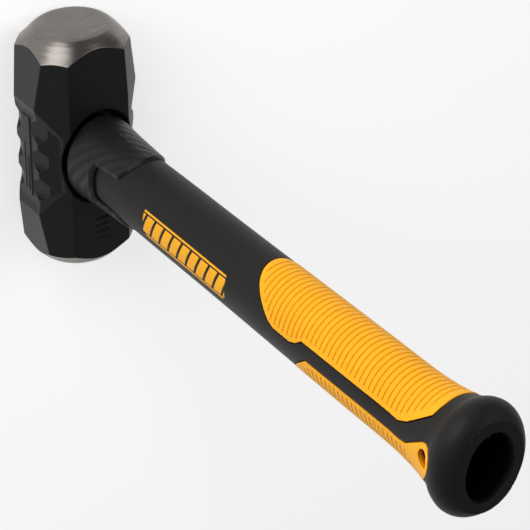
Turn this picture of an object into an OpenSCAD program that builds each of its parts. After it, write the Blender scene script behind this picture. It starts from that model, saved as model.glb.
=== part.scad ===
// Short double-faced sledgehammer, standing on the crown of its head with the handle straight up.
// Millimetres. +Z runs up the handle from the head to the butt, X runs from striking face to
// striking face, and Y runs from cheek to cheek. The origin is the middle of the crown.

/* [Head] */
// Length of the head from striking face to striking face
head_length = 132; // [118:1:146]
// Depth of the head from its crown to its handle side
head_depth = 45; // [44:0.5:48]
// Width across the cheeks at the ends, where the chamfers begin
end_width = 52.3; // [51:0.1:53.5]
// Width across the cheeks beside the waist
waist_width = 60.4; // [59:0.2:61.4]
// How much deeper the middle is than the ends, on the handle side
belly = 1.1; // [0.6:0.1:1.4]
// Width of the flat crown and of the flat handle side
flat_width = 32.8; // [31:0.2:34]
// How far each striking face stands out of the octagon's corners
face_rise = 10; // [9:0.5:11]
// Half the striking face's height, from crown side to handle side
face_r = 17; // [15:0.5:18]
// How deeply the waist is sunk into each cheek
waist_sink = 1.5; // [0.8:0.1:2]
// Size of the six-sided pockets, from centre to corner
pocket_r = 6.3; // [5:0.1:7]
// Distance between neighbouring pockets
pocket_pitch = 17; // [15.5:0.5:18]
// How deep the pockets go below the waist
pocket_deep = 2.2; // [1:0.1:2.6]

/* [Handle] */
// Height of the butt's end above the crown
total_height = 352; // [352:1:366]
// Half the grip's longer width, in its middle
grip_r = 19.9; // [19.4:0.1:20.6]
// How much longer than wide every section of the handle is
oval = 1.19; // [1.15:0.01:1.24]
// Half the butt's longer width
butt_r = 29.4; // [28:0.2:30]
// Half the fibreglass core's longer width
core_r = 11.5; // [10:0.5:12]
// Half the composite sleeve's longer width
sleeve_r = 15; // [14:0.2:15.4]
// Half the collar's longer width where it meets the head
collar_r = 23.7; // [23:0.1:24.4]
// Half the long way across the socket in the butt
socket_r = 18.1; // [16:0.1:18.6]
// Depth of the socket in the butt
socket_deep = 27; // [25:0.5:30]

/* [Pads] */
// Thickness of the yellow pads
pad_t = 2.2; // [1.6:0.1:2.6]
// Distance between neighbouring grooves
groove_pitch = 3.25; // [3:0.05:3.6]
// Number of grooves across the pads
groove_count = 37; // [30:1:37]
// Depth of the grooves
groove_deep = 0.55; // [0.3:0.05:0.8]
// Radius of the lanyard hole
lanyard_r = 4.2; // [3.2:0.1:4.4]
// Width of the dark line around each pad
pad_gap = 0.5; // [0.2:0.1:0.8]

/* [Hidden] */
$fn = 72;
fit = 0.03;
hz = head_depth / 2;
hl = head_length / 2;
fw = flat_width / 2;
diag = hz + fw;
ch_x = hl - face_rise;
floor_y = waist_width / 2 - waist_sink;
edge_z = 10;
lift = total_height - 352;
inner_oval = 1.2;
zs = 44;
groove_z0 = 200;
hole_z = 332.5 + lift;
hole_x = 2;

// Outer half width of the black sleeve, up the handle: [half width, height above the crown].
grip_profile = [
    [grip_r - 0.75, 66.3], [grip_r - 0.55, 84], [grip_r - 0.3, 112], [grip_r - 0.2, 152], [grip_r + 0.1, 192],
    [grip_r + 0.5, 232], [grip_r + 0.8, 272], [grip_r + 0.85, 296 + lift], [grip_r + 1.15, 307 + lift],
    [grip_r + 2.1, 317 + lift], [grip_r + 3.2, 324 + lift], [grip_r + 4.5, 330 + lift],
    [grip_r + 6.1, 334.5 + lift], [butt_r - 0.9, 338.5 + lift], [butt_r - 0.15, 341 + lift], [butt_r, 342.6 + lift],
    [butt_r - 0.4, 344.8 + lift], [butt_r - 1.5, 347 + lift], [butt_r - 3.3, 349.2 + lift],
    [butt_r - 5.4, 350.8 + lift], [butt_r - 7, 351.7 + lift], [butt_r - 7.9, total_height]];

// Striking face chamfer, from in front of the face out past the octagon's corners: [distance along X, radius].
chamfer = [
    [hl + 1.1, face_r - 1.6], [hl - 0.9, face_r + 1.4], [hl - 2.6, face_r + 3.3], [hl - 4.2, face_r + 4.7],
    [ch_x + 4.8, face_r + 5.6], [ch_x + 3.5, face_r + 6.6], [ch_x + 2.5, face_r + 7.5], [ch_x + 1.5, face_r + 8.5],
    [ch_x + 0.7, face_r + 9.3], [ch_x - 0.1, face_r + 10.1], [ch_x - 1.5, face_r + 11.6], [ch_x - 7, face_r + 17.5]];

// Side outlines of the pads, [along X, height].
palm_outline = [
    [40, 195.3], [20.2, 195.8], [18.2, 197.2], [14.6, 200.4], [8.6, 207.5], [3.4, 214.2], [1.5, 218.5], [1.5, 231],
    [3, 235.5], [6.1, 239.5], [6.7, 310 + lift], [9.2, 315.6 + lift], [18.4, 327.5 + lift], [22, 328.6 + lift], [40, 329.5 + lift]];
finger_outline = [
    [-40, 231.5], [-12.5, 232], [-9.4, 234.6], [-3.4, 241.8], [-2.2, 243.4], [-1.7, 312 + lift], [-0.6, 317.2 + lift],
    [2.9, 321.9 + lift], [8, 329.2 + lift], [9.1, 332.4 + lift], [8.5, 335.4 + lift], [6.4, 338.2 + lift],
    [2.6, 339.3 + lift], [-1.5, 338.5 + lift], [-5, 336.2 + lift], [-10, 331.8 + lift], [-16, 328.6 + lift],
    [-20.5, 327.2 + lift], [-40, 327 + lift]];
palm_field = [
    [40, 190], [22, 196], [15.6, 202.6], [9.8, 209.5], [4.6, 216.2], [3.6, 219], [3.6, 230], [5.4, 236.5], [8.4, 241],
    [8.8, 309 + lift], [18.6, 323.4 + lift], [40, 325.4 + lift]];
finger_field = [
    [-40, 238], [-11.2, 238], [-5.2, 245.2], [-4, 247], [-3.8, 317 + lift], [-10, 321.5 + lift], [-40, 322 + lift]];
band_outline = [
    [9.4, 111.5], [8.0, 145], [8.3, 179.5], [-4.5, 179.5], [-6.8, 176], [-6.8, 113.5], [-4.2, 110], [7, 110]];

// ---- shapes used by several parts ----

module oval_turn(points, k = oval)
    scale([1, 1 / k, 1]) rotate_extrude($fn = 96) polygon(points);

module oval_rod(r, z0, z1, k = inner_oval)
    scale([1, 1 / k, 1]) translate([0, 0, z0]) cylinder(r = r, h = z1 - z0, $fn = 96);

module oval_cone(r0, r1, z0, z1, k = inner_oval)
    scale([1, 1 / k, 1]) translate([0, 0, z0]) cylinder(r1 = r0, r2 = r1, h = z1 - z0, $fn = 96);

// A flat outline in X and height, carried straight through from cheek side to cheek side.
module side_prism(outline, y0 = -40, y1 = 40)
    translate([0, y1, 0]) rotate([90, 0, 0]) linear_extrude(height = y1 - y0) polygon(outline);

// An outline in Y and height, carried along X.
module long_prism(outline, half)
    rotate([90, 0, 90]) translate([0, 0, -half]) linear_extrude(height = 2 * half) polygon(outline);

// The skin of the grip between two depths below its outer surface.
module grip_skin(top, bottom) {
    upper = [for (p = grip_profile) [p[0] - top, p[1]]];
    lower = [for (i = [len(grip_profile) - 1 : -1 : 0]) [grip_profile[i][0] - bottom, grip_profile[i][1]]];
    oval_turn(concat(upper, lower));
}

module groove_rings()
    scale([1, 1 / oval, 1]) rotate_extrude($fn = 96)
        for (i = [0 : groove_count - 1])
            let (z = groove_z0 + i * groove_pitch, r = lookup(z, [for (p = grip_profile) [p[1], p[0]]]))
                polygon([[r - groove_deep, z - 0.22], [r - groove_deep, z + 0.22], [r + 0.6, z + 0.55], [r + 0.6, z - 0.55]]);

// ---- head ----

module face_chamfer()
    scale([1, 1.09, 1]) rotate([0, 90, 0]) rotate_extrude($fn = 96)
        polygon(concat([[0, -hl - 1.1]], [for (p = chamfer) [p[1], -p[0]]],
                       [for (i = [len(chamfer) - 1 : -1 : 0]) [chamfer[i][1], chamfer[i][0]]], [[0, hl + 1.1]]));

// Half width that grows from the ends to the shoulders of the waist.
function drafted(at_end, at_waist, x) = at_waist + (at_end - at_waist) * (x - 30) / (ch_x - 30);

// Two opposite slanted facets. The one on the handle side bellies out.
module slant(turn) {
    d_end = diag / sqrt(2);
    d_mid = d_end + belly * 1.25;
    translate([0, 0, hz]) rotate([turn, 0, 0]) translate([0, 0, -60]) linear_extrude(height = 120)
        polygon([[80, drafted(d_end, d_mid, 80)], [30, d_mid], [-30, d_mid], [-80, drafted(d_end, d_mid, 80)],
                 [-80, -d_end], [80, -d_end]]);
}

module head_block()
    intersection() {
        // flat crown, striking faces and handle side
        side_prism([[-hl, 0], [hl, 0], [hl, drafted(head_depth, head_depth + belly, hl)], [30, head_depth + belly],
                    [-30, head_depth + belly], [-hl, drafted(head_depth, head_depth + belly, hl)]]);
        slant(45);
        slant(135);
        // cheeks, drawn in towards both ends
        translate([0, 0, -1]) linear_extrude(height = head_depth + 4)
            polygon([[80, drafted(end_width / 2, waist_width / 2, 80)], [30, waist_width / 2], [-30, waist_width / 2],
                     [-80, drafted(end_width / 2, waist_width / 2, 80)], [-80, -drafted(end_width / 2, waist_width / 2, 80)],
                     [-30, -waist_width / 2], [30, -waist_width / 2], [80, -drafted(end_width / 2, waist_width / 2, 80)]]);
        translate([0, 0, hz]) face_chamfer();
    }

// What is left of the section inside the waist.
module waist_core()
    long_prism([[fw, 0], [floor_y, hz - edge_z], [floor_y, hz + edge_z], [fw + 0.6, head_depth + belly + 0.1],
                [-fw - 0.6, head_depth + belly + 0.1], [-floor_y, hz + edge_z], [-floor_y, hz - edge_z], [-fw, 0]], 40);

module waist_cut()
    difference() {
        side_prism([[29, hz - 10], [29, hz + 10], [15.2, head_depth + 2], [-15.2, head_depth + 2], [-29, hz + 10],
                    [-29, hz - 10], [-15.2, -0.4], [15.2, -0.4]]);
        waist_core();
    }

// One pocket over an edge between cheek and slanted facet.
module pocket(x, side, up)
    translate([x, side * floor_y, hz + up * edge_z])
        rotate([-side * (90 - up * 22.5), 0, 0])
            translate([0, 0, -pocket_deep]) cylinder(r = pocket_r, h = 12, $fn = 6);

// Low panel with two plain ribs, between the two rows of pockets on a cheek.
module cheek_panel(side) {
    translate([-23, side > 0 ? floor_y - 0.5 : -floor_y - 0.6, hz - 3.9]) cube([46, 1.1, 7.8]);
    for (z = [-2.3, 1.1])
        translate([-20.5, side > 0 ? floor_y : -floor_y - 1, hz + z]) cube([z < 0 ? 27 : 20, 1, 1.2]);
}

module mouth(r, z0, z1)
    scale([1, 1 / 1.22, 1]) translate([0, 0, z0]) cylinder(r = r, h = z1 - z0, $fn = 96);

module eye()
    union() {
        oval_cone(17, 18, -1, 37);
        mouth(22.8, 34, 50);
        oval_cone(23.4, 28.2, 39.5, 50, 1.22);
    }

module weight_marks()
    for (i = [0 : 3])
        translate([-50 + i * 4.2, -3.5, head_depth - 0.3]) cube([1.6, 7, 3]);

module head()
    color([0.11, 0.115, 0.125]) {
        difference() {
            head_block();
            waist_cut();
            for (side = [-1, 1]) for (up = [-1, 1]) for (i = [-1 : 1]) pocket(i * pocket_pitch, side, up);
            eye();
            weight_marks();
        }
        for (side = [-1, 1]) cheek_panel(side);
    }

// ---- inside the eye ----

module eye_bond()
    color([0.62, 0.58, 0.42])
        difference() {
            oval_cone(17 + 1.5 / 38 - fit, 18 - fit - 3 / 38, 0.5, 34);
            oval_rod(sleeve_r + fit, -1, 50);
        }

module mouth_seal()
    color([0.05, 0.05, 0.055])
        difference() {
            mouth(22.8 - fit, 34 + fit, 35.5);
            oval_rod(sleeve_r + fit, 30, 50);
        }

module fibreglass_core()
    color([0.78, 0.74, 0.55]) oval_rod(core_r, 0.6, total_height - socket_deep - 4);

module composite_sleeve()
    color([0.09, 0.09, 0.1])
        difference() {
            oval_rod(sleeve_r, 0.6, total_height - socket_deep - 4);
            oval_rod(core_r + fit, -1, total_height);
        }

module core_end_plug()
    color([0.04, 0.04, 0.045])
        oval_rod(sleeve_r, total_height - socket_deep - 4 + fit, total_height - socket_deep - fit);

// ---- collar ----

collar_edge = [
    [-40, 30], [40, 30], [40, 104], [20.8, 91.6], [10.7, 84.8], [9.7, zs + 23.1], [6.5, zs + 22.3], [-6.5, zs + 22.3],
    [-9.7, zs + 23.1], [-10.7, 84.8], [-20.8, 91.6], [-40, 104]];

module collar_shell()
    oval_turn([[grip_r - 0.72 + fit, 66.2], [grip_r - 0.52 + fit, 84], [grip_r - 0.42 + fit, 95], [collar_r - 2.9, 93],
               [collar_r - 2.5, 84], [collar_r - 1.3, 62], [collar_r - 0.2, 50], [collar_r - 0.4, 47.6], [collar_r - 1.1, 45.8],
               [collar_r - 2.4, 44.8], [20, 44.6], [20, 35.6], [sleeve_r + 1.2, 35.6], [sleeve_r + 1.2, 66.2]]);

module overstrike_collar()
    color([0.10, 0.10, 0.11])
        intersection() {
            union() {
                collar_shell();
                difference() {
                    oval_rod(sleeve_r + 1.6, 35.6, 66.2, oval);
                    oval_rod(sleeve_r + fit, 30, 70);
                }
            }
            side_prism(collar_edge);
        }

// ---- grip ----

module socket()
    scale([1, 1 / 1.4, 1]) rotate_extrude($fn = 96)
        polygon([[0, total_height - socket_deep], [socket_r - 1.2, total_height - socket_deep], [socket_r - 0.1, total_height - 0.5],
                 [socket_r + 0.5, total_height + 0.1], [socket_r + 0.5, total_height + 3], [0, total_height + 3]]);

module lanyard_hole()
    translate([hole_x, 40, hole_z]) rotate([90, 0, 0]) cylinder(r = lanyard_r, h = 80, $fn = 48);

module palm_space()
    intersection() {
        grip_skin(-3, pad_t + fit);
        side_prism([for (i = [0 : len(palm_outline) - 1]) [palm_outline[i][0] - (i > 0 && i < len(palm_outline) - 1 ? pad_gap : 0),
                    palm_outline[i][1] + (i < 8 ? -pad_gap : i > 9 ? pad_gap : 0)]]);
    }

module finger_space()
    intersection() {
        grip_skin(-3, pad_t + fit);
        side_prism([for (i = [0 : len(finger_outline) - 1]) [finger_outline[i][0] + (i > 0 && i < len(finger_outline) - 1 ? pad_gap : 0),
                    finger_outline[i][1] + (i < 5 ? -pad_gap : i > 9 ? pad_gap : 0)]]);
    }

module band_space(depth)
    intersection() {
        grip_skin(-2, depth);
        side_prism(band_outline);
    }

cap_z = total_height - socket_deep - 4;

function skin_r(z) = lookup(z, [for (p = grip_profile) [p[1], p[0]]]);

// The black overmould between two heights, with its pockets for the pads.
module overmould(z0, z1)
    color([0.13, 0.13, 0.135])
        difference() {
            oval_turn(concat([[0, z0], [skin_r(z0), z0]], [for (p = grip_profile) if (p[1] > z0 + 0.05 && p[1] < z1 - 0.05) p],
                             [[skin_r(z1), z1], [0, z1]]));
            oval_rod(sleeve_r + fit, 60, total_height - socket_deep);
            socket();
            palm_space();
            finger_space();
            band_space(0.5 + fit);
            lanyard_hole();
        }

module grip_sleeve() overmould(66.3, cap_z - fit);

module butt_cap() overmould(cap_z, total_height);

module palm_pad()
    color([0.98, 0.70, 0.10])
        difference() {
            intersection() {
                grip_skin(-0.25, pad_t);
                side_prism(palm_outline);
            }
            intersection() {
                groove_rings();
                side_prism(palm_field);
            }
        }

module finger_pad()
    color([0.98, 0.70, 0.10])
        difference() {
            intersection() {
                grip_skin(-0.25, pad_t);
                side_prism(finger_outline);
            }
            intersection() {
                groove_rings();
                side_prism(finger_field);
            }
            lanyard_hole();
        }

module side_bands()
    color([0.98, 0.70, 0.10])
        intersection() {
            grip_skin(0, 0.5);
            side_prism(band_outline);
        }

head();
eye_bond();
mouth_seal();
fibreglass_core();
composite_sleeve();
overstrike_collar();
grip_sleeve();
butt_cap();
palm_pad();
finger_pad();
side_bands();
core_end_plug();
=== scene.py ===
import bpy, math
import numpy as np
from mathutils import Vector, Matrix


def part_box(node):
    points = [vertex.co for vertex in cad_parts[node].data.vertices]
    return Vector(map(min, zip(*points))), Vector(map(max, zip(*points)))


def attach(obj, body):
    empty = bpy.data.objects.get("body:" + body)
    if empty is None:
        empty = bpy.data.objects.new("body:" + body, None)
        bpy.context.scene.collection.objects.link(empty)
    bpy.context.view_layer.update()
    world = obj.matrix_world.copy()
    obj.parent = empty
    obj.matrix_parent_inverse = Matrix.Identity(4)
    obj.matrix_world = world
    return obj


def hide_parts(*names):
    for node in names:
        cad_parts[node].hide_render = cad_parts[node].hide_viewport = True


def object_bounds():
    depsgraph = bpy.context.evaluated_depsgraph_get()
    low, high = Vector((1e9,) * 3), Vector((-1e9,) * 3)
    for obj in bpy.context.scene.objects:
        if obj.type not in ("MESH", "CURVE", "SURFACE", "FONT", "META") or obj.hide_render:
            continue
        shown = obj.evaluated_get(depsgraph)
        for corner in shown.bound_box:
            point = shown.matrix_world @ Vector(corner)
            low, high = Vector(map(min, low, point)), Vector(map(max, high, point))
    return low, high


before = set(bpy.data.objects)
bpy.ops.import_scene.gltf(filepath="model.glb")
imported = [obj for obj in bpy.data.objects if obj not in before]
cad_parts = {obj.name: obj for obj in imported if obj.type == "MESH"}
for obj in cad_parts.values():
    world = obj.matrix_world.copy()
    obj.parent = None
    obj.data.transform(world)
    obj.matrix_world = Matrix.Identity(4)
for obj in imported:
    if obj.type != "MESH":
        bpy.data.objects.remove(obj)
CAD_LO, CAD_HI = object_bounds()
F32 = np.float32

# ------------------------------------------------------------------ sizes, in millimetres
lo_h, hi_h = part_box("head")
HL = hi_h[0] * 1000.0                      # half the head's length
HD = 45.0                                  # the head's depth at its ends
HZ = HD / 2
TOP = CAD_HI[2] * 1000.0                   # the butt's end
FW = 16.4                                  # half the flat crown's width
DIAG = HZ + FW
OVAL = 1.19
SOCK_Z = TOP - 27.0


# ------------------------------------------------------------------ distance helpers
def smax(a, b, k):
    """Larger of two fields with a fillet of about k between them."""
    h = np.clip(0.5 + 0.5 * (a - b) / k, 0, 1)
    return b + (a - b) * h + k * h * (1 - h)


def smin(a, b, k):
    return -smax(-a, -b, k)


def poly_sdf(px, py, pts):
    """Signed distance to a closed polygon, negative inside."""
    pts = np.asarray(pts, float)
    d = np.full(np.broadcast(px, py).shape, 1e9)
    inside = np.zeros(d.shape, bool)
    n = len(pts)
    for i in range(n):
        ax, ay = pts[i]
        bx, by = pts[(i + 1) % n]
        ex, ey = bx - ax, by - ay
        L = ex * ex + ey * ey
        if L < 1e-12:
            continue
        wx, wy = px - ax, py - ay
        t = np.clip((wx * ex + wy * ey) / L, 0, 1)
        d = np.minimum(d, (wx - t * ex) ** 2 + (wy - t * ey) ** 2)
        if abs(ey) > 1e-12:
            cross = ((ay > py) != (by > py)) & (px < ex * (py - ay) / ey + ax)
            inside ^= cross
    d = np.sqrt(d)
    return np.where(inside, -d, d)


def smooth_table(table, n=600, passes=14):
    """A profile with its corners eased, as (half width, height) pairs."""
    t = np.asarray(table, float)
    s = np.concatenate([[0], np.cumsum(np.hypot(*np.diff(t, axis=0).T))])
    q = np.linspace(0, s[-1], n)
    r, z = np.interp(q, s, t[:, 0]), np.interp(q, s, t[:, 1])
    for _ in range(passes):
        r[1:-1] = (r[:-2] + r[1:-1] * 2 + r[2:]) / 4
        z[1:-1] = (z[:-2] + z[1:-1] * 2 + z[2:]) / 4
    return np.stack([r, z], 1)


# ------------------------------------------------------------------ surface nets
def mesh_field(name, f, lo, hi, step, clip=None):
    """A closed quad mesh on f(x, y, z) = 0, with every vertex moved onto the surface."""
    lo, hi = np.asarray(lo, float), np.asarray(hi, float)
    step = np.asarray(step if np.ndim(step) else [step] * 3, float)
    n = np.ceil((hi - lo) / step).astype(int) + 1
    xs, ys, zs = [lo[i] + step[i] * np.arange(n[i]) for i in range(3)]
    val = np.empty(tuple(n), F32)
    slab = max(4, int(3e6 // (n[0] * n[1])))
    for k in range(0, n[2], slab):
        val[:, :, k:k + slab] = f(xs[:, None, None], ys[None, :, None], zs[None, None, k:k + slab])
    neg = val < 0
    # cells that hold the surface
    c = np.zeros(tuple(n - 1), np.uint8)
    for dx in (0, 1):
        for dy in (0, 1):
            for dz in (0, 1):
                c += neg[dx:n[0] - 1 + dx, dy:n[1] - 1 + dy, dz:n[2] - 1 + dz]
    cell = (c > 0) & (c < 8)
    idx = np.full(cell.shape, -1, np.int32)
    ci = np.argwhere(cell)
    idx[cell] = np.arange(len(ci))
    # vertex: mean of the edge crossings
    acc = np.zeros((len(ci), 3))
    cnt = np.zeros(len(ci))
    corner = [(0, 0, 0), (1, 0, 0), (0, 1, 0), (1, 1, 0), (0, 0, 1), (1, 0, 1), (0, 1, 1), (1, 1, 1)]
    vals = [val[ci[:, 0] + a, ci[:, 1] + b, ci[:, 2] + d].astype(float) for a, b, d in corner]
    for i, j in ((0, 1), (2, 3), (4, 5), (6, 7), (0, 2), (1, 3), (4, 6), (5, 7), (0, 4), (1, 5), (2, 6), (3, 7)):
        va, vb = vals[i], vals[j]
        m = (va < 0) != (vb < 0)
        t = np.where(m, va / np.where(m, va - vb, 1), 0)
        pa, pb = np.array(corner[i], float), np.array(corner[j], float)
        acc += m[:, None] * (pa + t[:, None] * (pb - pa))
        cnt += m
    P = lo + step * (ci + acc / cnt[:, None])
    # quads across each crossed grid edge
    quads = []
    for ax in range(3):
        b, d = (ax + 1) % 3, (ax + 2) % 3
        s0 = [slice(1, -1)] * 3
        s0[ax] = slice(0, n[ax] - 1)
        s1 = list(s0)
        s1[ax] = slice(1, n[ax])
        A, B = neg[tuple(s0)], neg[tuple(s1)]
        for flip, m in ((False, A & ~B), (True, ~A & B)):
            g = np.argwhere(m)
            if not len(g):
                continue
            g[:, b] += 1
            g[:, d] += 1
            q = []
            for ob, od in ((1, 1), (0, 1), (0, 0), (1, 0)):
                h = g.copy()
                h[:, b] -= ob
                h[:, d] -= od
                q.append(idx[h[:, 0], h[:, 1], h[:, 2]])
            q = np.stack(q, 1)
            quads.append(q[:, ::-1] if flip else q)
    Q = np.concatenate(quads)
    # move the vertices onto the surface
    e = 0.02
    mx = step.max() * 0.7
    for it in range(4):
        v = f(P[:, 0], P[:, 1], P[:, 2])
        g = np.stack([f(P[:, 0] + e, P[:, 1], P[:, 2]) - f(P[:, 0] - e, P[:, 1], P[:, 2]),
                      f(P[:, 0], P[:, 1] + e, P[:, 2]) - f(P[:, 0], P[:, 1] - e, P[:, 2]),
                      f(P[:, 0], P[:, 1], P[:, 2] + e) - f(P[:, 0], P[:, 1], P[:, 2] - e)], 1) / (2 * e)
        L = np.maximum((g ** 2).sum(1), 0.2)
        d = -(v / L)[:, None] * g
        ln = np.linalg.norm(d, axis=1)
        d *= np.minimum(1, mx / np.maximum(ln, 1e-9))[:, None]
        P = P + d
    g = np.stack([f(P[:, 0] + e, P[:, 1], P[:, 2]) - f(P[:, 0] - e, P[:, 1], P[:, 2]),
                  f(P[:, 0], P[:, 1] + e, P[:, 2]) - f(P[:, 0], P[:, 1] - e, P[:, 2]),
                  f(P[:, 0], P[:, 1], P[:, 2] + e) - f(P[:, 0], P[:, 1], P[:, 2] - e)], 1)
    N = g / np.maximum(np.linalg.norm(g, axis=1), 1e-9)[:, None]
    me = bpy.data.meshes.new(name)
    me.vertices.add(len(P))
    me.vertices.foreach_set("co", (P / 1000.0).astype(F32).ravel())
    me.loops.add(Q.size)
    me.loops.foreach_set("vertex_index", Q.astype(np.int32).ravel())
    me.polygons.add(len(Q))
    me.polygons.foreach_set("loop_start", np.arange(0, Q.size, 4, dtype=np.int32))
    me.update(calc_edges=True)
    me.validate()
    me.polygons.foreach_set("use_smooth", np.ones(len(me.polygons), bool))
    me.normals_split_custom_set_from_vertices(N.astype(F32))
    o = bpy.data.objects.new(name, me)
    bpy.context.scene.collection.objects.link(o)
    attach(o, "root")
    print(name, len(P), "vertices", len(Q), "quads", flush=True)
    return o, P, N


def attr(o, name, values):
    a = o.data.attributes.new(name, "FLOAT", "POINT")
    a.data.foreach_set("value", np.asarray(values, F32))


# ------------------------------------------------------------------ handle profile
GRIP_R = 19.9
BUTT_R = 29.4
GRIP = [[GRIP_R - 0.75, 60.3], [GRIP_R - 0.75, 66.3], [GRIP_R - 0.55, 84], [GRIP_R - 0.3, 112], [GRIP_R - 0.2, 152], [GRIP_R + 0.1, 192],
        [GRIP_R + 0.5, 232], [GRIP_R + 0.8, 272], [GRIP_R + 0.85, 296], [GRIP_R + 1.15, 307],
        [GRIP_R + 2.1, 317], [GRIP_R + 3.2, 324], [GRIP_R + 4.5, 330],
        [GRIP_R + 6.1, 334.5], [BUTT_R - 0.9, 338.5], [BUTT_R - 0.15, 341], [BUTT_R, 342.6],
        [BUTT_R - 0.4, 344.8], [BUTT_R - 1.5, 347], [BUTT_R - 3.3, 349.2],
        [BUTT_R - 5.4, 350.8], [BUTT_R - 7, 351.7], [BUTT_R - 7.9, 352]]
BODY = smooth_table(GRIP[:-6], 500, 30)


def skin_r(z):
    return np.interp(z, BODY[:, 1], BODY[:, 0])


def oval_r(x, y, k=OVAL):
    return np.sqrt(x * x + (y * k) ** 2)


def oval_scale(x, y, k=OVAL):
    """How a step in the oval radius compares with a real step outwards."""
    r = oval_r(x, y, k)
    return np.sqrt(x * x + (y * k * k) ** 2) / np.maximum(r, 1e-6)


BUTT_POLY = np.concatenate([[[0, 290.0]], smooth_table([p for p in GRIP if p[1] > 289] + [[19.0, 352.0], [12.0, 352.0]], 260, 8),
                            [[0, 352.0]]])


def body_field(x, y, z, off=0.0):
    """Outer skin of the overmould, pushed out by off."""
    r, s = oval_r(x, y), oval_scale(x, y)
    side = (r - skin_r(z) - off) / s
    if np.max(z) < 325:
        return side
    zz = np.broadcast_to(z, np.broadcast(r, z).shape)
    rr = np.broadcast_to(r, zz.shape)
    ss = np.broadcast_to(s, zz.shape)
    out = np.array(np.broadcast_to(side, zz.shape))
    m = (zz > 322) & (np.abs(out) < 6)
    if m.any():
        out[m] = poly_sdf(rr[m] - off * 0, zz[m], BUTT_POLY) / ss[m] - off
    m = (zz > 322) & ~(np.abs(np.broadcast_to(side, zz.shape)) < 6)
    out[m] = np.maximum(out[m], zz[m] - 352.0)
    return out


# ------------------------------------------------------------------ head
CHX = HL - 10.0
CH = np.array([[HL + 1.1, 15.4], [HL - 0.9, 18.4], [HL - 2.6, 20.3], [HL - 4.2, 21.7], [CHX + 4.8, 22.6], [CHX + 3.5, 23.6],
               [CHX + 2.5, 24.5], [CHX + 1.5, 25.5], [CHX + 0.7, 26.3], [CHX - 0.1, 27.1], [CHX - 1.5, 28.6], [CHX - 7, 34.5]])
CH_S = smooth_table(CH, 300, 16)
CH_O = CH_S[np.argsort(CH_S[:, 0])]
CH_G = np.gradient(CH_O[:, 1], CH_O[:, 0])
KY = 1.09
BELLY = 1.1


def chamfer_field(x, y, z):
    """Distance outside the ground chamfer that turns round the head's long axis."""
    zz = z - HZ
    r = np.sqrt(zz * zz + (y / KY) ** 2)
    s = np.where(r < 10, 1.0, np.sqrt(zz * zz + (y / KY ** 2) ** 2) / np.maximum(r, 1e-6))
    ax = np.abs(x)
    rc = np.interp(ax, CH_O[:, 0], CH_O[:, 1], left=34.5, right=10.0)
    sl = np.interp(ax, CH_O[:, 0], CH_G, left=-1.0)
    return (r - rc) / np.sqrt(1 + np.minimum(sl * sl, 4.0)) / np.maximum(s, 0.6)


def section(x, y, z, edge=0.4):
    """The two flats and the four slanted facets. The handle side bellies out towards the middle."""
    g = (CHX - np.maximum(np.abs(x), 30.0)) / (CHX - 30.0)          # 0 at the chamfers, 1 at the waist
    zz, az = z - HZ, np.abs(z - HZ)
    up = zz > 0
    flat = np.where(up, zz - HZ - BELLY * g, -zz - HZ)
    d = DIAG * 0.70711
    slant = (np.abs(y) + az) * 0.70711 - np.where(up, d + BELLY * 1.25 * g, d)
    return smax(flat, slant, edge)


def cheek(x, y):
    ax = np.abs(x)
    yb = np.where(ax < 30, 30.2, 30.2 - (ax - 30) * (30.2 - 26.15) / (CHX - 30))
    return (np.abs(y) - yb) * 0.988


WAIST = [[31.8, -10], [31.8, 10], [17.9, 24.5], [-17.9, 24.5], [-31.8, 10], [-31.8, -10], [-17.9, -22.9], [17.9, -22.9]]
SINK = 1.5
FLOOR_Y = 30.2 - SINK


def waist_floor(y, z):
    """What is left inside the waist: cheek floors, and slanted floors that run out at the flats."""
    zz, ay = z - HZ, np.abs(y)
    up = zz > 0
    az = np.abs(zz)
    f0 = np.where(up, 17.0, 16.4)
    z0 = np.where(up, 23.7, 22.5)
    nx, nz = z0 - 10.0, FLOOR_Y - f0
    L = np.sqrt(nx * nx + nz * nz)
    dg = ((ay - f0) * nx + (az - z0) * nz) / L
    return smax(ay - FLOOR_Y, dg, 0.5)


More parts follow.
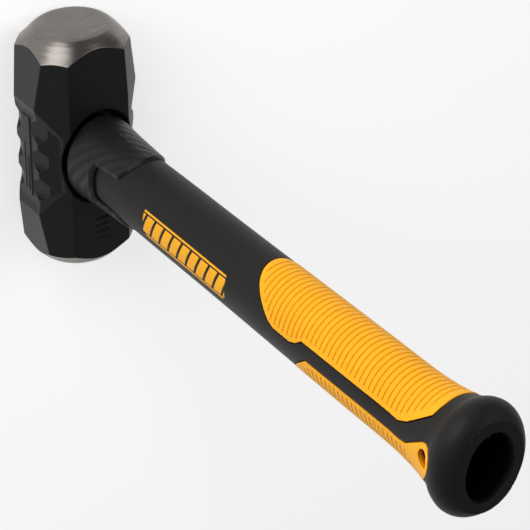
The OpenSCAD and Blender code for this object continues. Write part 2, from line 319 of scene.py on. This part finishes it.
def head_field(x, y, z):
    oct_ = section(x, y, z)
    blk = smax(smax(oct_, cheek(x, y), 0.4), chamfer_field(x, y, z), 0.25)
    blk = smax(blk, np.abs(x) - HL, 1.1)
    # waist with sloping walls
    wf = waist_floor(y, z)
    wp = poly_sdf(np.where(x > 0, x + 0.9, -x), z - HZ, WAIST)
    w = 5.2
    wall = (wp + w * (1 - np.clip(wf / SINK, -0.3, 1.4))) / math.sqrt(1 + (w / SINK) ** 2)
    cut = smax(-wf, wall, 0.3)
    out = smax(blk, -cut, 0.22)
    # six-sided pockets
    ay, az = np.abs(y), np.abs(z - HZ)
    c, s = math.cos(math.radians(22.5)), math.sin(math.radians(22.5))
    py, pz = ay - FLOOR_Y, az - 10.0
    depth = py * c + pz * s            # outwards
    v = -py * s + pz * c               # across the edge
    xx = np.abs(x)
    u = np.where(xx > 8.5, xx - 17.0, xx)
    au, av = np.abs(u), np.abs(v)
    hexd = np.maximum(av, au * 0.8660254 + av * 0.5) - 5.45
    pk = smax((hexd - depth * 0.22 - 0.15) * 0.976, -(depth + 2.2), 0.35)
    out = smax(out, -pk, 0.25)
    # low panel on each cheek with two plain ribs
    out = smin(out, smax(np.maximum(np.abs(x) - 23.0, az - 3.9), ay - FLOOR_Y - 0.6, 0.4), 0.3)
    zr = z - HZ
    for zc, x0, x1 in ((-1.7, -20.5, 6.5), (1.7, -20.5, -0.5)):
        rib = np.maximum(np.maximum(np.abs(x - (x0 + x1) / 2) - (x1 - x0) / 2, np.abs(zr - zc) - 0.6), ay - FLOOR_Y - 1.0)
        out = smin(out, rib, 0.25)
    # mouth and eye
    rm = np.sqrt(x * x + (y * 1.22) ** 2)
    sm = np.sqrt(x * x + (y * 1.22 ** 2) ** 2) / np.maximum(rm, 1e-6)
    wide = smax((rm - 23.4 - (z - 39.5) * 0.457) / sm / 1.1, 39.5 - z, 0.6)
    deep = smax((rm - 22.8) / sm, 34.0 - z, 0.3)
    out = smax(out, -wide, 1.0)
    out = smax(out, -deep, 0.6)
    re = oval_r(x, y, 1.2)
    eye = (re - (17.0 + (z + 1) / 38.0)) / oval_scale(x, y, 1.2)
    out = smax(out, -eye, 0.4)
    # weight class tallies
    for i in range(4):
        cx = -50 + i * 4.2 + 0.8
        t = np.maximum(np.maximum(np.abs(x - cx) - 0.8, np.abs(y) - 3.5), (HD - 0.3) - z)
        out = smax(out, -t, 0.2)
    return out


def build_head():
    o, P, N = mesh_field("forged_head", head_field, [-HL - 0.6, -31.0, -0.6], [HL + 0.6, 31.0, HD + 1.9], 0.45)
    x, y, z = P.T
    oct_ = np.maximum(section(x, y, z, 0.01), cheek(x, y))
    attr(o, "bare", oct_ - chamfer_field(x, y, z))       # negative where the ground chamfer has cut the facets away
    attr(o, "facen", np.abs(x))
    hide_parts("head")
    return o


# ------------------------------------------------------------------ collar
ZS = 44.0
COLLAR_R = 23.7
COLLAR = smooth_table([[COLLAR_R - 0.1, 34], [COLLAR_R - 0.1, 44], [COLLAR_R - 0.2, 50], [COLLAR_R - 1.3, 62], [COLLAR_R - 2.5, 84], [COLLAR_R - 2.9, 93], [COLLAR_R - 3.1, 99]], 200, 6)
EDGE = [[-40, 30], [40, 30], [40, 104], [20.8, 91.6], [10.7, 84.8], [9.7, ZS + 23.1], [6.5, ZS + 22.3], [-6.5, ZS + 22.3],
        [-9.7, ZS + 23.1], [-10.7, 84.8], [-20.8, 91.6], [-40, 104]]


def collar_r(z):
    return np.interp(z, COLLAR[:, 1], COLLAR[:, 0])


def collar_field(x, y, z):
    r, s = oval_r(x, y), oval_scale(x, y)
    out = (r - collar_r(z)) / s
    out = smin(out, np.maximum(out - 0.18, np.abs(y) - 0.35), 0.3)            # moulding line
    e = poly_sdf(x, z, EDGE)
    inner = (15.03 - oval_r(x, y, 1.2)) / oval_scale(x, y, 1.2)
    skin = (skin_r(z) - 1.0 - r) / s
    inner = np.maximum(inner, np.where(z > 66.2, skin, -9))
    # sloping edge where it steps down to the grip
    d = smax(smax(out, e, 0.25), (out + e * 0.62 + 1.35) * 0.85, 0.3)
    d = smax(d, (44.6 - z), 2.2)
    neck = np.maximum(np.maximum((r - 20.0) / s, 35.6 - z), z - 60.0)
    d = smin(d, neck, 0.3)
    return np.maximum(d, inner)


def build_collar():
    o, P, N = mesh_field("twill_collar", collar_field, [-24.6, -20.9, 35], [24.6, 20.9, 98], 0.4)
    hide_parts("overstrike_collar")
    return o


# ------------------------------------------------------------------ grip
PALM = [[40, 195.3], [20.2, 195.8], [18.2, 197.2], [14.6, 200.4], [8.6, 207.5], [3.4, 214.2], [1.5, 218.5], [1.5, 231],
        [3, 235.5], [6.1, 239.5], [6.7, 310], [9.2, 315.6], [18.4, 327.5], [22, 328.6], [40, 329.5]]
FINGER = [[-40, 231.5], [-12.5, 232], [-9.4, 234.6], [-3.4, 241.8], [-2.2, 243.4], [-1.7, 312], [-0.6, 317.2], [2.9, 321.9],
          [8, 329.2], [9.1, 332.4], [8.5, 335.4], [6.4, 338.2], [2.6, 339.3],
          [-1.5, 338.5], [-5, 336.2], [-10, 331.8], [-16, 328.6], [-20.5, 327.2], [-40, 327]]
PALM_FIELD = [[40, 190], [22, 196], [15.6, 202.6], [9.8, 209.5], [4.6, 216.2], [3.6, 219], [3.6, 230], [5.4, 236.5], [8.4, 241],
              [8.8, 309], [18.6, 323.4], [40, 325.4]]
FINGER_FIELD = [[-40, 238], [-11.2, 238], [-5.2, 245.2], [-4, 247], [-3.8, 317], [-10, 321.5], [-40, 322]]
HOLE = (2.0, 332.5)


def hole_field(x, z, r=4.2):
    return np.sqrt((x - HOLE[0]) ** 2 + (z - HOLE[1]) ** 2) - r


def socket_field(x, y, z):
    r = np.sqrt(x * x + (y * 1.4) ** 2)
    s = np.sqrt(x * x + (y * 1.96) ** 2) / np.maximum(r, 1e-6)
    rz = 16.9 + (z - SOCK_Z) * (1.2 / 25.4)
    d = (r - rz) / s
    return np.maximum(d, SOCK_Z - z)


def grip_field(x, y, z):
    d = body_field(x, y, z)
    # pockets for the pads, with a dark line round them
    pp = poly_sdf(x, z, PALM) - 0.55
    fp = poly_sdf(x, z, FINGER) - 0.55
    pocket = smin(pp, fp, 0.1)
    d = smax(d, -smax(pocket, -(d + 1.3), 0.15), 0.25)
    if np.max(z) > 300:
        d = smax(d, -socket_field(x, y, z), 0.9)
        d = smax(d, -hole_field(x, z), 0.25)
    # tongue under the collar's step
    d = smax(d, 60.5 - z, 0.4)
    inner = (15.03 - oval_r(x, y, 1.2)) / oval_scale(x, y, 1.2)
    return np.maximum(d, np.where(z < SOCK_Z, inner, -9))


def build_grip():
    o, P, N = mesh_field("moulded_grip", grip_field, [-29.6, -25.2, 60], [29.6, 25.2, 352.6], [0.5, 0.5, 0.5])
    x, y, z = P.T
    r = np.sqrt(x * x + (y * 1.4) ** 2)
    attr(o, "bore", np.where(np.abs(y) > 17.2, np.abs(hole_field(x, z)), 9.0))
    attr(o, "well", np.where((r < 19.0) & (z > SOCK_Z - 1), TOP - z, 0.0))
    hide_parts("grip_sleeve", "butt_cap")
    return o


def grooves(z, z0, pitch, width):
    """Half-round channels at a constant spacing: their distance field along the handle."""
    t = (z - z0) / pitch
    return np.abs(t - np.round(t)) * pitch - width / 2


def pad_field(poly, area, pitch, z0, deep, wide):
    def f(x, y, z):
        b = body_field(x, y, z)
        e = poly_sdf(x, z, poly)
        d = smax(b - 0.2, e, 0.55)
        d = np.maximum(d, -(b + 2.15))
        g = grooves(z, z0, pitch, wide)
        inside = poly_sdf(x, z, area)
        ch = smax(smax(g, -(b - 0.2 + deep), 0.25), inside, 0.4)
        d = smax(d, -ch, 0.45)
        if np.max(z) > 300:
            d = smax(d, -hole_field(x, z), 0.5)
        return d
    return f


def build_pads():
    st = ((0.42, 0.42, 0.26))
    a, P, N = mesh_field("palm_rubber", pad_field(PALM, PALM_FIELD, 3.25, 200.0, 0.5, 0.5), [0.5, -20.6, 194.5], [25.4, 20.6, 330.6], st)
    depth_attr(a, P)
    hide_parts("palm_pad")
    b, P, N = mesh_field("finger_rubber", pad_field(FINGER, FINGER_FIELD, 3.25, 200.0, 0.5, 0.5), [-29.0, -24.8, 230.5], [10.6, 24.8, 340.4], st)
    depth_attr(b, P)
    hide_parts("finger_pad")
    return a, b


def depth_attr(o, P):
    x, y, z = P.T
    attr(o, "sunk", body_field(x, y, z) - 0.2)


# yellow slanted bars on both sides
def bars_field(x, y, z):
    b = body_field(x, y, z)
    d = smax(b - 0.12, -(b + 0.5), 0.1)
    area = poly_sdf(x, z, [[9.4, 111.5], [8.0, 145], [8.3, 179.5], [-4.5, 179.5], [-6.8, 176], [-6.8, 113.5], [-4.2, 110], [7, 110]])
    mid = 0.9                                                     # a plain run of slanted bars between two thin lines
    across = np.abs(x - mid) - 5.1
    t = (z - 145.0 - (x - mid) * 0.42) / 7.6
    bars = np.maximum((np.abs(t - np.round(t)) - 0.385) * 7.6 * 0.92, across)
    lines = np.abs(np.abs(x - mid) - 6.45) - 0.55
    return smax(d, np.maximum(area, np.minimum(bars, lines)), 0.15)


def build_bands():
    o, P, N = mesh_field("side_inlays", bars_field, [-8, -17.6, 109], [10.4, 17.6, 180.5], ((0.22, 0.22, 0.22)))
    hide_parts("side_bands")
    return o


parts = {"head": build_head(), "collar": build_collar(), "grip": build_grip()}
parts["palm"], parts["finger"] = build_pads()
parts["bands"] = build_bands()


# ------------------------------------------------------------------ materials
def mat(name):
    m = bpy.data.materials.new(name)
    m.use_nodes = True
    nt = m.node_tree
    b = nt.nodes["Principled BSDF"]
    return m, nt, b


def node(nt, kind, **kw):
    n = nt.nodes.new(kind)
    for k, v in kw.items():
        if k in n.inputs:
            n.inputs[k].default_value = v
        else:
            setattr(n, k, v)
    return n


def ramp(nt, fac, stops, interp="LINEAR"):
    r = nt.nodes.new("ShaderNodeValToRGB")
    r.color_ramp.interpolation = interp
    while len(r.color_ramp.elements) < len(stops):
        r.color_ramp.elements.new(0.5)
    for e, (p, c) in zip(r.color_ramp.elements, stops):
        e.position = p
        e.color = c if len(c) == 4 else (*c, 1)
    nt.links.new(fac, r.inputs[0])
    return r.outputs[0]


def mix(nt, fac, a, b, kind="RGBA", blend="MIX"):
    m = nt.nodes.new("ShaderNodeMix")
    m.data_type = kind
    if kind == "RGBA":
        m.blend_type = blend
    ins = [i for i in m.inputs if i.enabled]
    sock = {"f": ins[0], "a": ins[1], "b": ins[2]}
    for key, v in (("f", fac), ("a", a), ("b", b)):
        if hasattr(v, "is_linked") or hasattr(v, "links"):
            nt.links.new(v, sock[key])
        else:
            sock[key].default_value = v if not (kind == "RGBA" and key != "f" and len(v) == 3) else (*v, 1)
    return [o for o in m.outputs if o.enabled][0]


def math_(nt, op, a, b=None, c=None, clamp=False):
    m = nt.nodes.new("ShaderNodeMath")
    m.operation = op
    m.use_clamp = clamp
    for i, v in enumerate((a, b, c)):
        if v is None:
            continue
        if hasattr(v, "links"):
            nt.links.new(v, m.inputs[i])
        else:
            m.inputs[i].default_value = v
    return m.outputs[0]


def coords(nt, scale=(1, 1, 1)):
    t = nt.nodes.new("ShaderNodeTexCoord")
    m = nt.nodes.new("ShaderNodeMapping")
    m.inputs["Scale"].default_value = scale
    nt.links.new(t.outputs["Object"], m.inputs["Vector"])
    return m.outputs[0]


def noise(nt, vec, scale, detail=3.0, rough=0.5, dist=0.0):
    n = nt.nodes.new("ShaderNodeTexNoise")
    n.inputs["Scale"].default_value = scale
    n.inputs["Detail"].default_value = detail
    n.inputs["Roughness"].default_value = rough
    n.inputs["Distortion"].default_value = dist
    nt.links.new(vec, n.inputs["Vector"])
    return n.outputs["Fac"]


def bump(nt, height, dist, strength=1.0, normal=None):
    b = nt.nodes.new("ShaderNodeBump")
    b.inputs["Distance"].default_value = dist
    b.inputs["Strength"].default_value = strength
    nt.links.new(height, b.inputs["Height"])
    if normal is not None:
        nt.links.new(normal, b.inputs["Normal"])
    return b.outputs[0]


def get_attr(nt, name):
    a = nt.nodes.new("ShaderNodeAttribute")
    a.attribute_name = name
    return a.outputs["Fac"]


def head_material():
    m, nt, b = mat("head_coating")
    L = nt.links
    v = coords(nt)
    bare = math_(nt, "MULTIPLY_ADD", get_attr(nt, "bare"), -7.0, 0.55, clamp=True)
    end = math_(nt, "MULTIPLY_ADD", get_attr(nt, "facen"), 3.0, -3.0 * (HL - 0.9), clamp=True)
    # ground steel: rings left by the grinder on the chamfer, straight strokes on the face
    t = nt.nodes.new("ShaderNodeTexCoord")
    sx = nt.nodes.new("ShaderNodeSeparateXYZ")
    L.new(t.outputs["Object"], sx.inputs[0])
    dz = math_(nt, "SUBTRACT", sx.outputs["Z"], HZ / 1000)
    ang = math_(nt, "ARCTAN2", dz, sx.outputs["Y"])
    rad = math_(nt, "SQRT", math_(nt, "MULTIPLY_ADD", dz, dz, math_(nt, "MULTIPLY", sx.outputs["Y"], sx.outputs["Y"])))
    cv = nt.nodes.new("ShaderNodeCombineXYZ")
    L.new(math_(nt, "MULTIPLY", sx.outputs["X"], 2600.0), cv.inputs[0])
    L.new(math_(nt, "MULTIPLY", rad, 2600.0), cv.inputs[1])
    L.new(math_(nt, "MULTIPLY", ang, 2.6), cv.inputs[2])
    rings = noise(nt, cv.outputs[0], 1.0, 4.0, 0.65)
    strokes = noise(nt, coords(nt, (200, 90, 2400)), 1.0, 4.0, 0.65, 0.15)
    lines = mix(nt, end, rings, strokes, "FLOAT")
    cloud = noise(nt, v, 70.0, 4.0, 0.6)
    steel = ramp(nt, lines, [(0.25, (0.135, 0.122, 0.112)), (0.5, (0.20, 0.184, 0.168)), (0.78, (0.27, 0.25, 0.232))])
    steel = mix(nt, math_(nt, "MULTIPLY", ramp(nt, cloud, [(0.35, (0, 0, 0)), (0.8, (1, 1, 1))]), 0.55), steel, (0.125, 0.108, 0.098))
    # fine matt coating, rubbed a little along its edges
    grain = noise(nt, v, 2400.0, 2.0, 0.6)
    lump = noise(nt, v, 160.0, 3.0, 0.5)
    coat = ramp(nt, lump, [(0.3, (0.0042, 0.0044, 0.0054)), (0.75, (0.0068, 0.0070, 0.0084))])
    L.new(mix(nt, bare, coat, steel), b.inputs["Base Color"])
    L.new(mix(nt, bare, 0.0, 1.0, "FLOAT"), b.inputs["Metallic"])
    rs = math_(nt, "MULTIPLY_ADD", lines, 0.14, 0.24)
    rc = math_(nt, "MULTIPLY_ADD", grain, 0.16, 0.36)
    L.new(mix(nt, bare, rc, rs, "FLOAT"), b.inputs["Roughness"])
    # reflections on the ground steel spread across the grinding marks
    tan = nt.nodes.new("ShaderNodeTangent")
    tan.direction_type = "RADIAL"
    tan.axis = "X"
    L.new(tan.outputs[0], b.inputs["Tangent"])
    L.new(math_(nt, "MULTIPLY", bare, 0.62), b.inputs["Anisotropic"])
    b.inputs["Anisotropic Rotation"].default_value = 0.25
    h1 = math_(nt, "MULTIPLY", grain, math_(nt, "SUBTRACT", 1.0, bare))
    h2 = math_(nt, "MULTIPLY", lines, bare)
    n1 = bump(nt, h1, 0.00006, 0.7)
    n2 = bump(nt, h2, 0.000012, 0.6, n1)
    n3 = bump(nt, lump, 0.0002, 0.22, n2)
    L.new(n3, b.inputs["Normal"])
    b.inputs["Specular IOR Level"].default_value = 0.36
    return m


def twill_material():
    m, nt, b = mat("collar_composite")
    L = nt.links
    t = nt.nodes.new("ShaderNodeTexCoord")
    sx = nt.nodes.new("ShaderNodeSeparateXYZ")
    L.new(t.outputs["Object"], sx.inputs[0])
    ang = math_(nt, "ARCTAN2", math_(nt, "MULTIPLY", sx.outputs["Y"], OVAL), sx.outputs["X"])
    u = math_(nt, "MULTIPLY", ang, 20.5)                       # millimetres round
    w = math_(nt, "MULTIPLY", sx.outputs["Z"], 1000.0)
    pitch = 1.9
    # two by two twill: the tows lying on top are painted lighter than those beneath, painted sheen and painted shade
    # standing in for each tow being lit along its own direction
    cu = math_(nt, "DIVIDE", u, pitch)
    cw = math_(nt, "DIVIDE", w, pitch)
    iu = math_(nt, "FLOOR", cu)
    iw = math_(nt, "FLOOR", cw)
    k = math_(nt, "FLOORED_MODULO", math_(nt, "ADD", iu, iw), 4.0)
    over = math_(nt, "LESS_THAN", k, 1.5)
    fu = math_(nt, "SUBTRACT", math_(nt, "FRACT", cu), 0.5)
    fw_ = math_(nt, "SUBTRACT", math_(nt, "FRACT", cw), 0.5)
    hu = math_(nt, "SUBTRACT", 1.0, math_(nt, "MULTIPLY", math_(nt, "MULTIPLY", fu, fu), 3.2))
    hw = math_(nt, "SUBTRACT", 1.0, math_(nt, "MULTIPLY", math_(nt, "MULTIPLY", fw_, fw_), 3.2))
    h = mix(nt, over, hu, hw, "FLOAT")
    fib = noise(nt, coords(nt, (900, 900, 900)), 1.0, 2.0, 0.6)
    # painted shade and painted sheen: the tows beneath get the dark tone, the tows on top the lighter one
    col = mix(nt, over, (0.0036, 0.0033, 0.0032), (0.0082, 0.0078, 0.0075))
    L.new(mix(nt, math_(nt, "MULTIPLY", fib, 0.35), col, (0.0110, 0.0104, 0.0100)), b.inputs["Base Color"])
    L.new(mix(nt, over, 0.52, 0.34, "FLOAT"), b.inputs["Roughness"])
    b.inputs["Specular IOR Level"].default_value = 0.24
    n1 = bump(nt, h, 0.00014, 0.55)
    n2 = bump(nt, fib, 0.00004, 0.4, n1)
    L.new(n2, b.inputs["Normal"])
    return m


def rubber_material(name, lo_c, hi_c, rough, grain_scale=2200.0, grain=0.00006, sheen=0.15, spec=0.2):
    m, nt, b = mat(name)
    L = nt.links
    v = coords(nt)
    g = noise(nt, v, grain_scale, 3.0, 0.6)
    c = noise(nt, v, 45.0, 4.0, 0.55)
    L.new(ramp(nt, c, [(0.3, lo_c), (0.75, hi_c)]), b.inputs["Base Color"])
    r = math_(nt, "MULTIPLY_ADD", g, 0.12, rough)
    L.new(math_(nt, "MULTIPLY_ADD", c, 0.08, r), b.inputs["Roughness"])
    n1 = bump(nt, g, grain, 0.6)
    n2 = bump(nt, c, 0.0003, 0.12, n1)
    L.new(n2, b.inputs["Normal"])
    b.inputs["Specular IOR Level"].default_value = spec
    b.inputs["Sheen Weight"].default_value = sheen
    b.inputs["Sheen Roughness"].default_value = 0.5
    return m, nt, b


def pad_material():
    m, nt, b = rubber_material("pad_rubber", (0.91, 0.405, 0.004), (0.95, 0.445, 0.006), 0.40, 1800.0, 0.00004, 0.01, 0.2)
    L = nt.links
    # painted shade: the yellow is painted darker and more orange where the surface sinks below the pad's face, in the
    # grooves and down the pad's edges
    sunk = math_(nt, "MULTIPLY_ADD", get_attr(nt, "sunk"), -2.4, -0.15, clamp=True)
    old = b.inputs["Base Color"].links[0].from_socket
    L.new(mix(nt, sunk, old, (0.74, 0.27, 0.004)), b.inputs["Base Color"])
    return m


def simple(name, col, rough, metal=0.0, ns=900.0):
    m, nt, b = mat(name)
    v = coords(nt)
    g = noise(nt, v, ns, 3.0, 0.6)
    nt.links.new(ramp(nt, g, [(0.3, tuple(c * 0.8 for c in col)), (0.7, tuple(min(1, c * 1.15) for c in col))]), b.inputs["Base Color"])
    nt.links.new(math_(nt, "MULTIPLY_ADD", g, 0.15, rough), b.inputs["Roughness"])
    nt.links.new(bump(nt, g, 0.00005, 0.5), b.inputs["Normal"])
    b.inputs["Metallic"].default_value = metal
    return m


def put(o, m):
    o.data.materials.clear()
    o.data.materials.append(m)


put(parts["head"], head_material())
put(parts["collar"], twill_material())
gm, gnt, gb = rubber_material("grip_rubber", (0.0062, 0.0054, 0.0050), (0.0095, 0.0084, 0.0078), 0.42, 2200.0, 0.00006, 0.01, 0.2)
g_old = gb.inputs["Base Color"].links[0].from_socket
# the lanyard bore's walls are painted dark orange-red: the yellow lining it really shows, darkened as painted shade
bore_lining_and_shade = math_(gnt, "MULTIPLY_ADD", get_attr(gnt, "bore"), -2.5, 1.5, clamp=True)
# painted shade: the grip is painted darker, and its specular turned down, the deeper it goes inside the socket at the
# butt
deep = math_(gnt, "MULTIPLY", get_attr(gnt, "well"), 0.25, clamp=True)
grip_col_socket_shade = mix(gnt, deep, g_old, (0.0012, 0.0011, 0.0011))
gnt.links.new(mix(gnt, bore_lining_and_shade, grip_col_socket_shade, (0.50, 0.105, 0.006)), gb.inputs["Base Color"])
gnt.links.new(math_(gnt, "MULTIPLY_ADD", deep, -0.19, 0.2), gb.inputs["Specular IOR Level"])
put(parts["grip"], gm)
pm = pad_material()
put(parts["palm"], pm)
put(parts["finger"], pm)
put(parts["bands"], rubber_material("band_rubber", (0.90, 0.40, 0.004), (0.94, 0.43, 0.006), 0.42, 1800.0, 0.00003, 0.01, 0.2)[0])
for n_, c_, r_ in (("eye_bond", (0.30, 0.24, 0.10), 0.25), ("mouth_seal", (0.010, 0.010, 0.011), 0.35), ("fibreglass_core", (0.50, 0.46, 0.28), 0.45),
                   ("composite_sleeve", (0.014, 0.014, 0.016), 0.35), ("core_end_plug", (0.010, 0.010, 0.011), 0.5)):
    put(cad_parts[n_], simple(n_ + "_look", c_, r_))

# ------------------------------------------------------------------ stage, light, camera
sc = bpy.context.scene
import bmesh
CAM = Vector((0.64787, 0.55256, 0.95247))
RIGHT = Vector((0.00932459, -0.81387345, 0.58096735))
UP = Vector((0.82939683, -0.31825131, -0.45914813))
BACK = Vector((0.55858209, 0.48613385, 0.67205649))
cam_d = bpy.data.cameras.new("cam")
cam = bpy.data.objects.new("cam", cam_d)
sc.collection.objects.link(cam)
cam_d.sensor_width = 36.0
cam_d.lens = 166.84
cam_d.dof.use_dof = False
cam.matrix_world = Matrix((
    (RIGHT.x, UP.x, BACK.x, CAM.x),
    (RIGHT.y, UP.y, BACK.y, CAM.y),
    (RIGHT.z, UP.z, BACK.z, CAM.z),
    (0, 0, 0, 1)))
cam_d.clip_start, cam_d.clip_end = 0.05, 30
sc.camera = cam

# a plain pale floor, under the hammer as it stands
def plane(name, size, z, n=24):
    bm = bmesh.new()
    bmesh.ops.create_grid(bm, x_segments=n, y_segments=n, size=size)
    me = bpy.data.meshes.new(name)
    bm.to_mesh(me)
    bm.free()
    o = bpy.data.objects.new(name, me)
    o.location = (0, 0, z)
    sc.collection.objects.link(o)
    return o


sc.view_settings.view_transform = "Standard"
sc.view_settings.look = "None"
floor = plane("floor", 6.0, -0.0002)
fm, fnt, fb = mat("floor_pale")
fb.inputs["Base Color"].default_value = (0.85, 0.85, 0.85, 1)
fb.inputs["Roughness"].default_value = 0.9
fb.inputs["Emission Color"].default_value = (1, 1, 1, 1)
fb.inputs["Emission Strength"].default_value = 0.55
put(floor, fm)

world = bpy.data.worlds.new("world") if sc.world is None else sc.world
sc.world = world
world.use_nodes = True
bg = world.node_tree.nodes["Background"]
bg.inputs["Color"].default_value = (1, 1, 1, 1)
bg.inputs["Strength"].default_value = 0.22


def area(name, loc, target, size, power, size_y=None, color=(1, 1, 1)):
    d = bpy.data.lights.new(name, "AREA")
    d.energy = power
    d.size = size
    d.color = color
    if size_y:
        d.shape = "RECTANGLE"
        d.size_y = size_y
    o = bpy.data.objects.new(name, d)
    o.location = loc
    o.rotation_mode = "QUATERNION"
    o.rotation_quaternion = (Vector(target) - Vector(loc)).to_track_quat("-Z", "Y")
    sc.collection.objects.link(o)
    return o


C = Vector((0, 0, 0.17))
# directions are given as seen by the camera: right, up, towards it
def seen(r, u, b):
    return C + RIGHT * r + UP * u + BACK * b


area("key", seen(-0.48, 0.46, 1.24), C, 0.95, 11.0, 0.95)
area("side_left", seen(-0.85, 0.12, 1.15), C, 0.35, 2.2, 0.9)
area("fill_right", seen(1.2, 0.1, 0.7), C, 0.9, 3.0, 0.9)
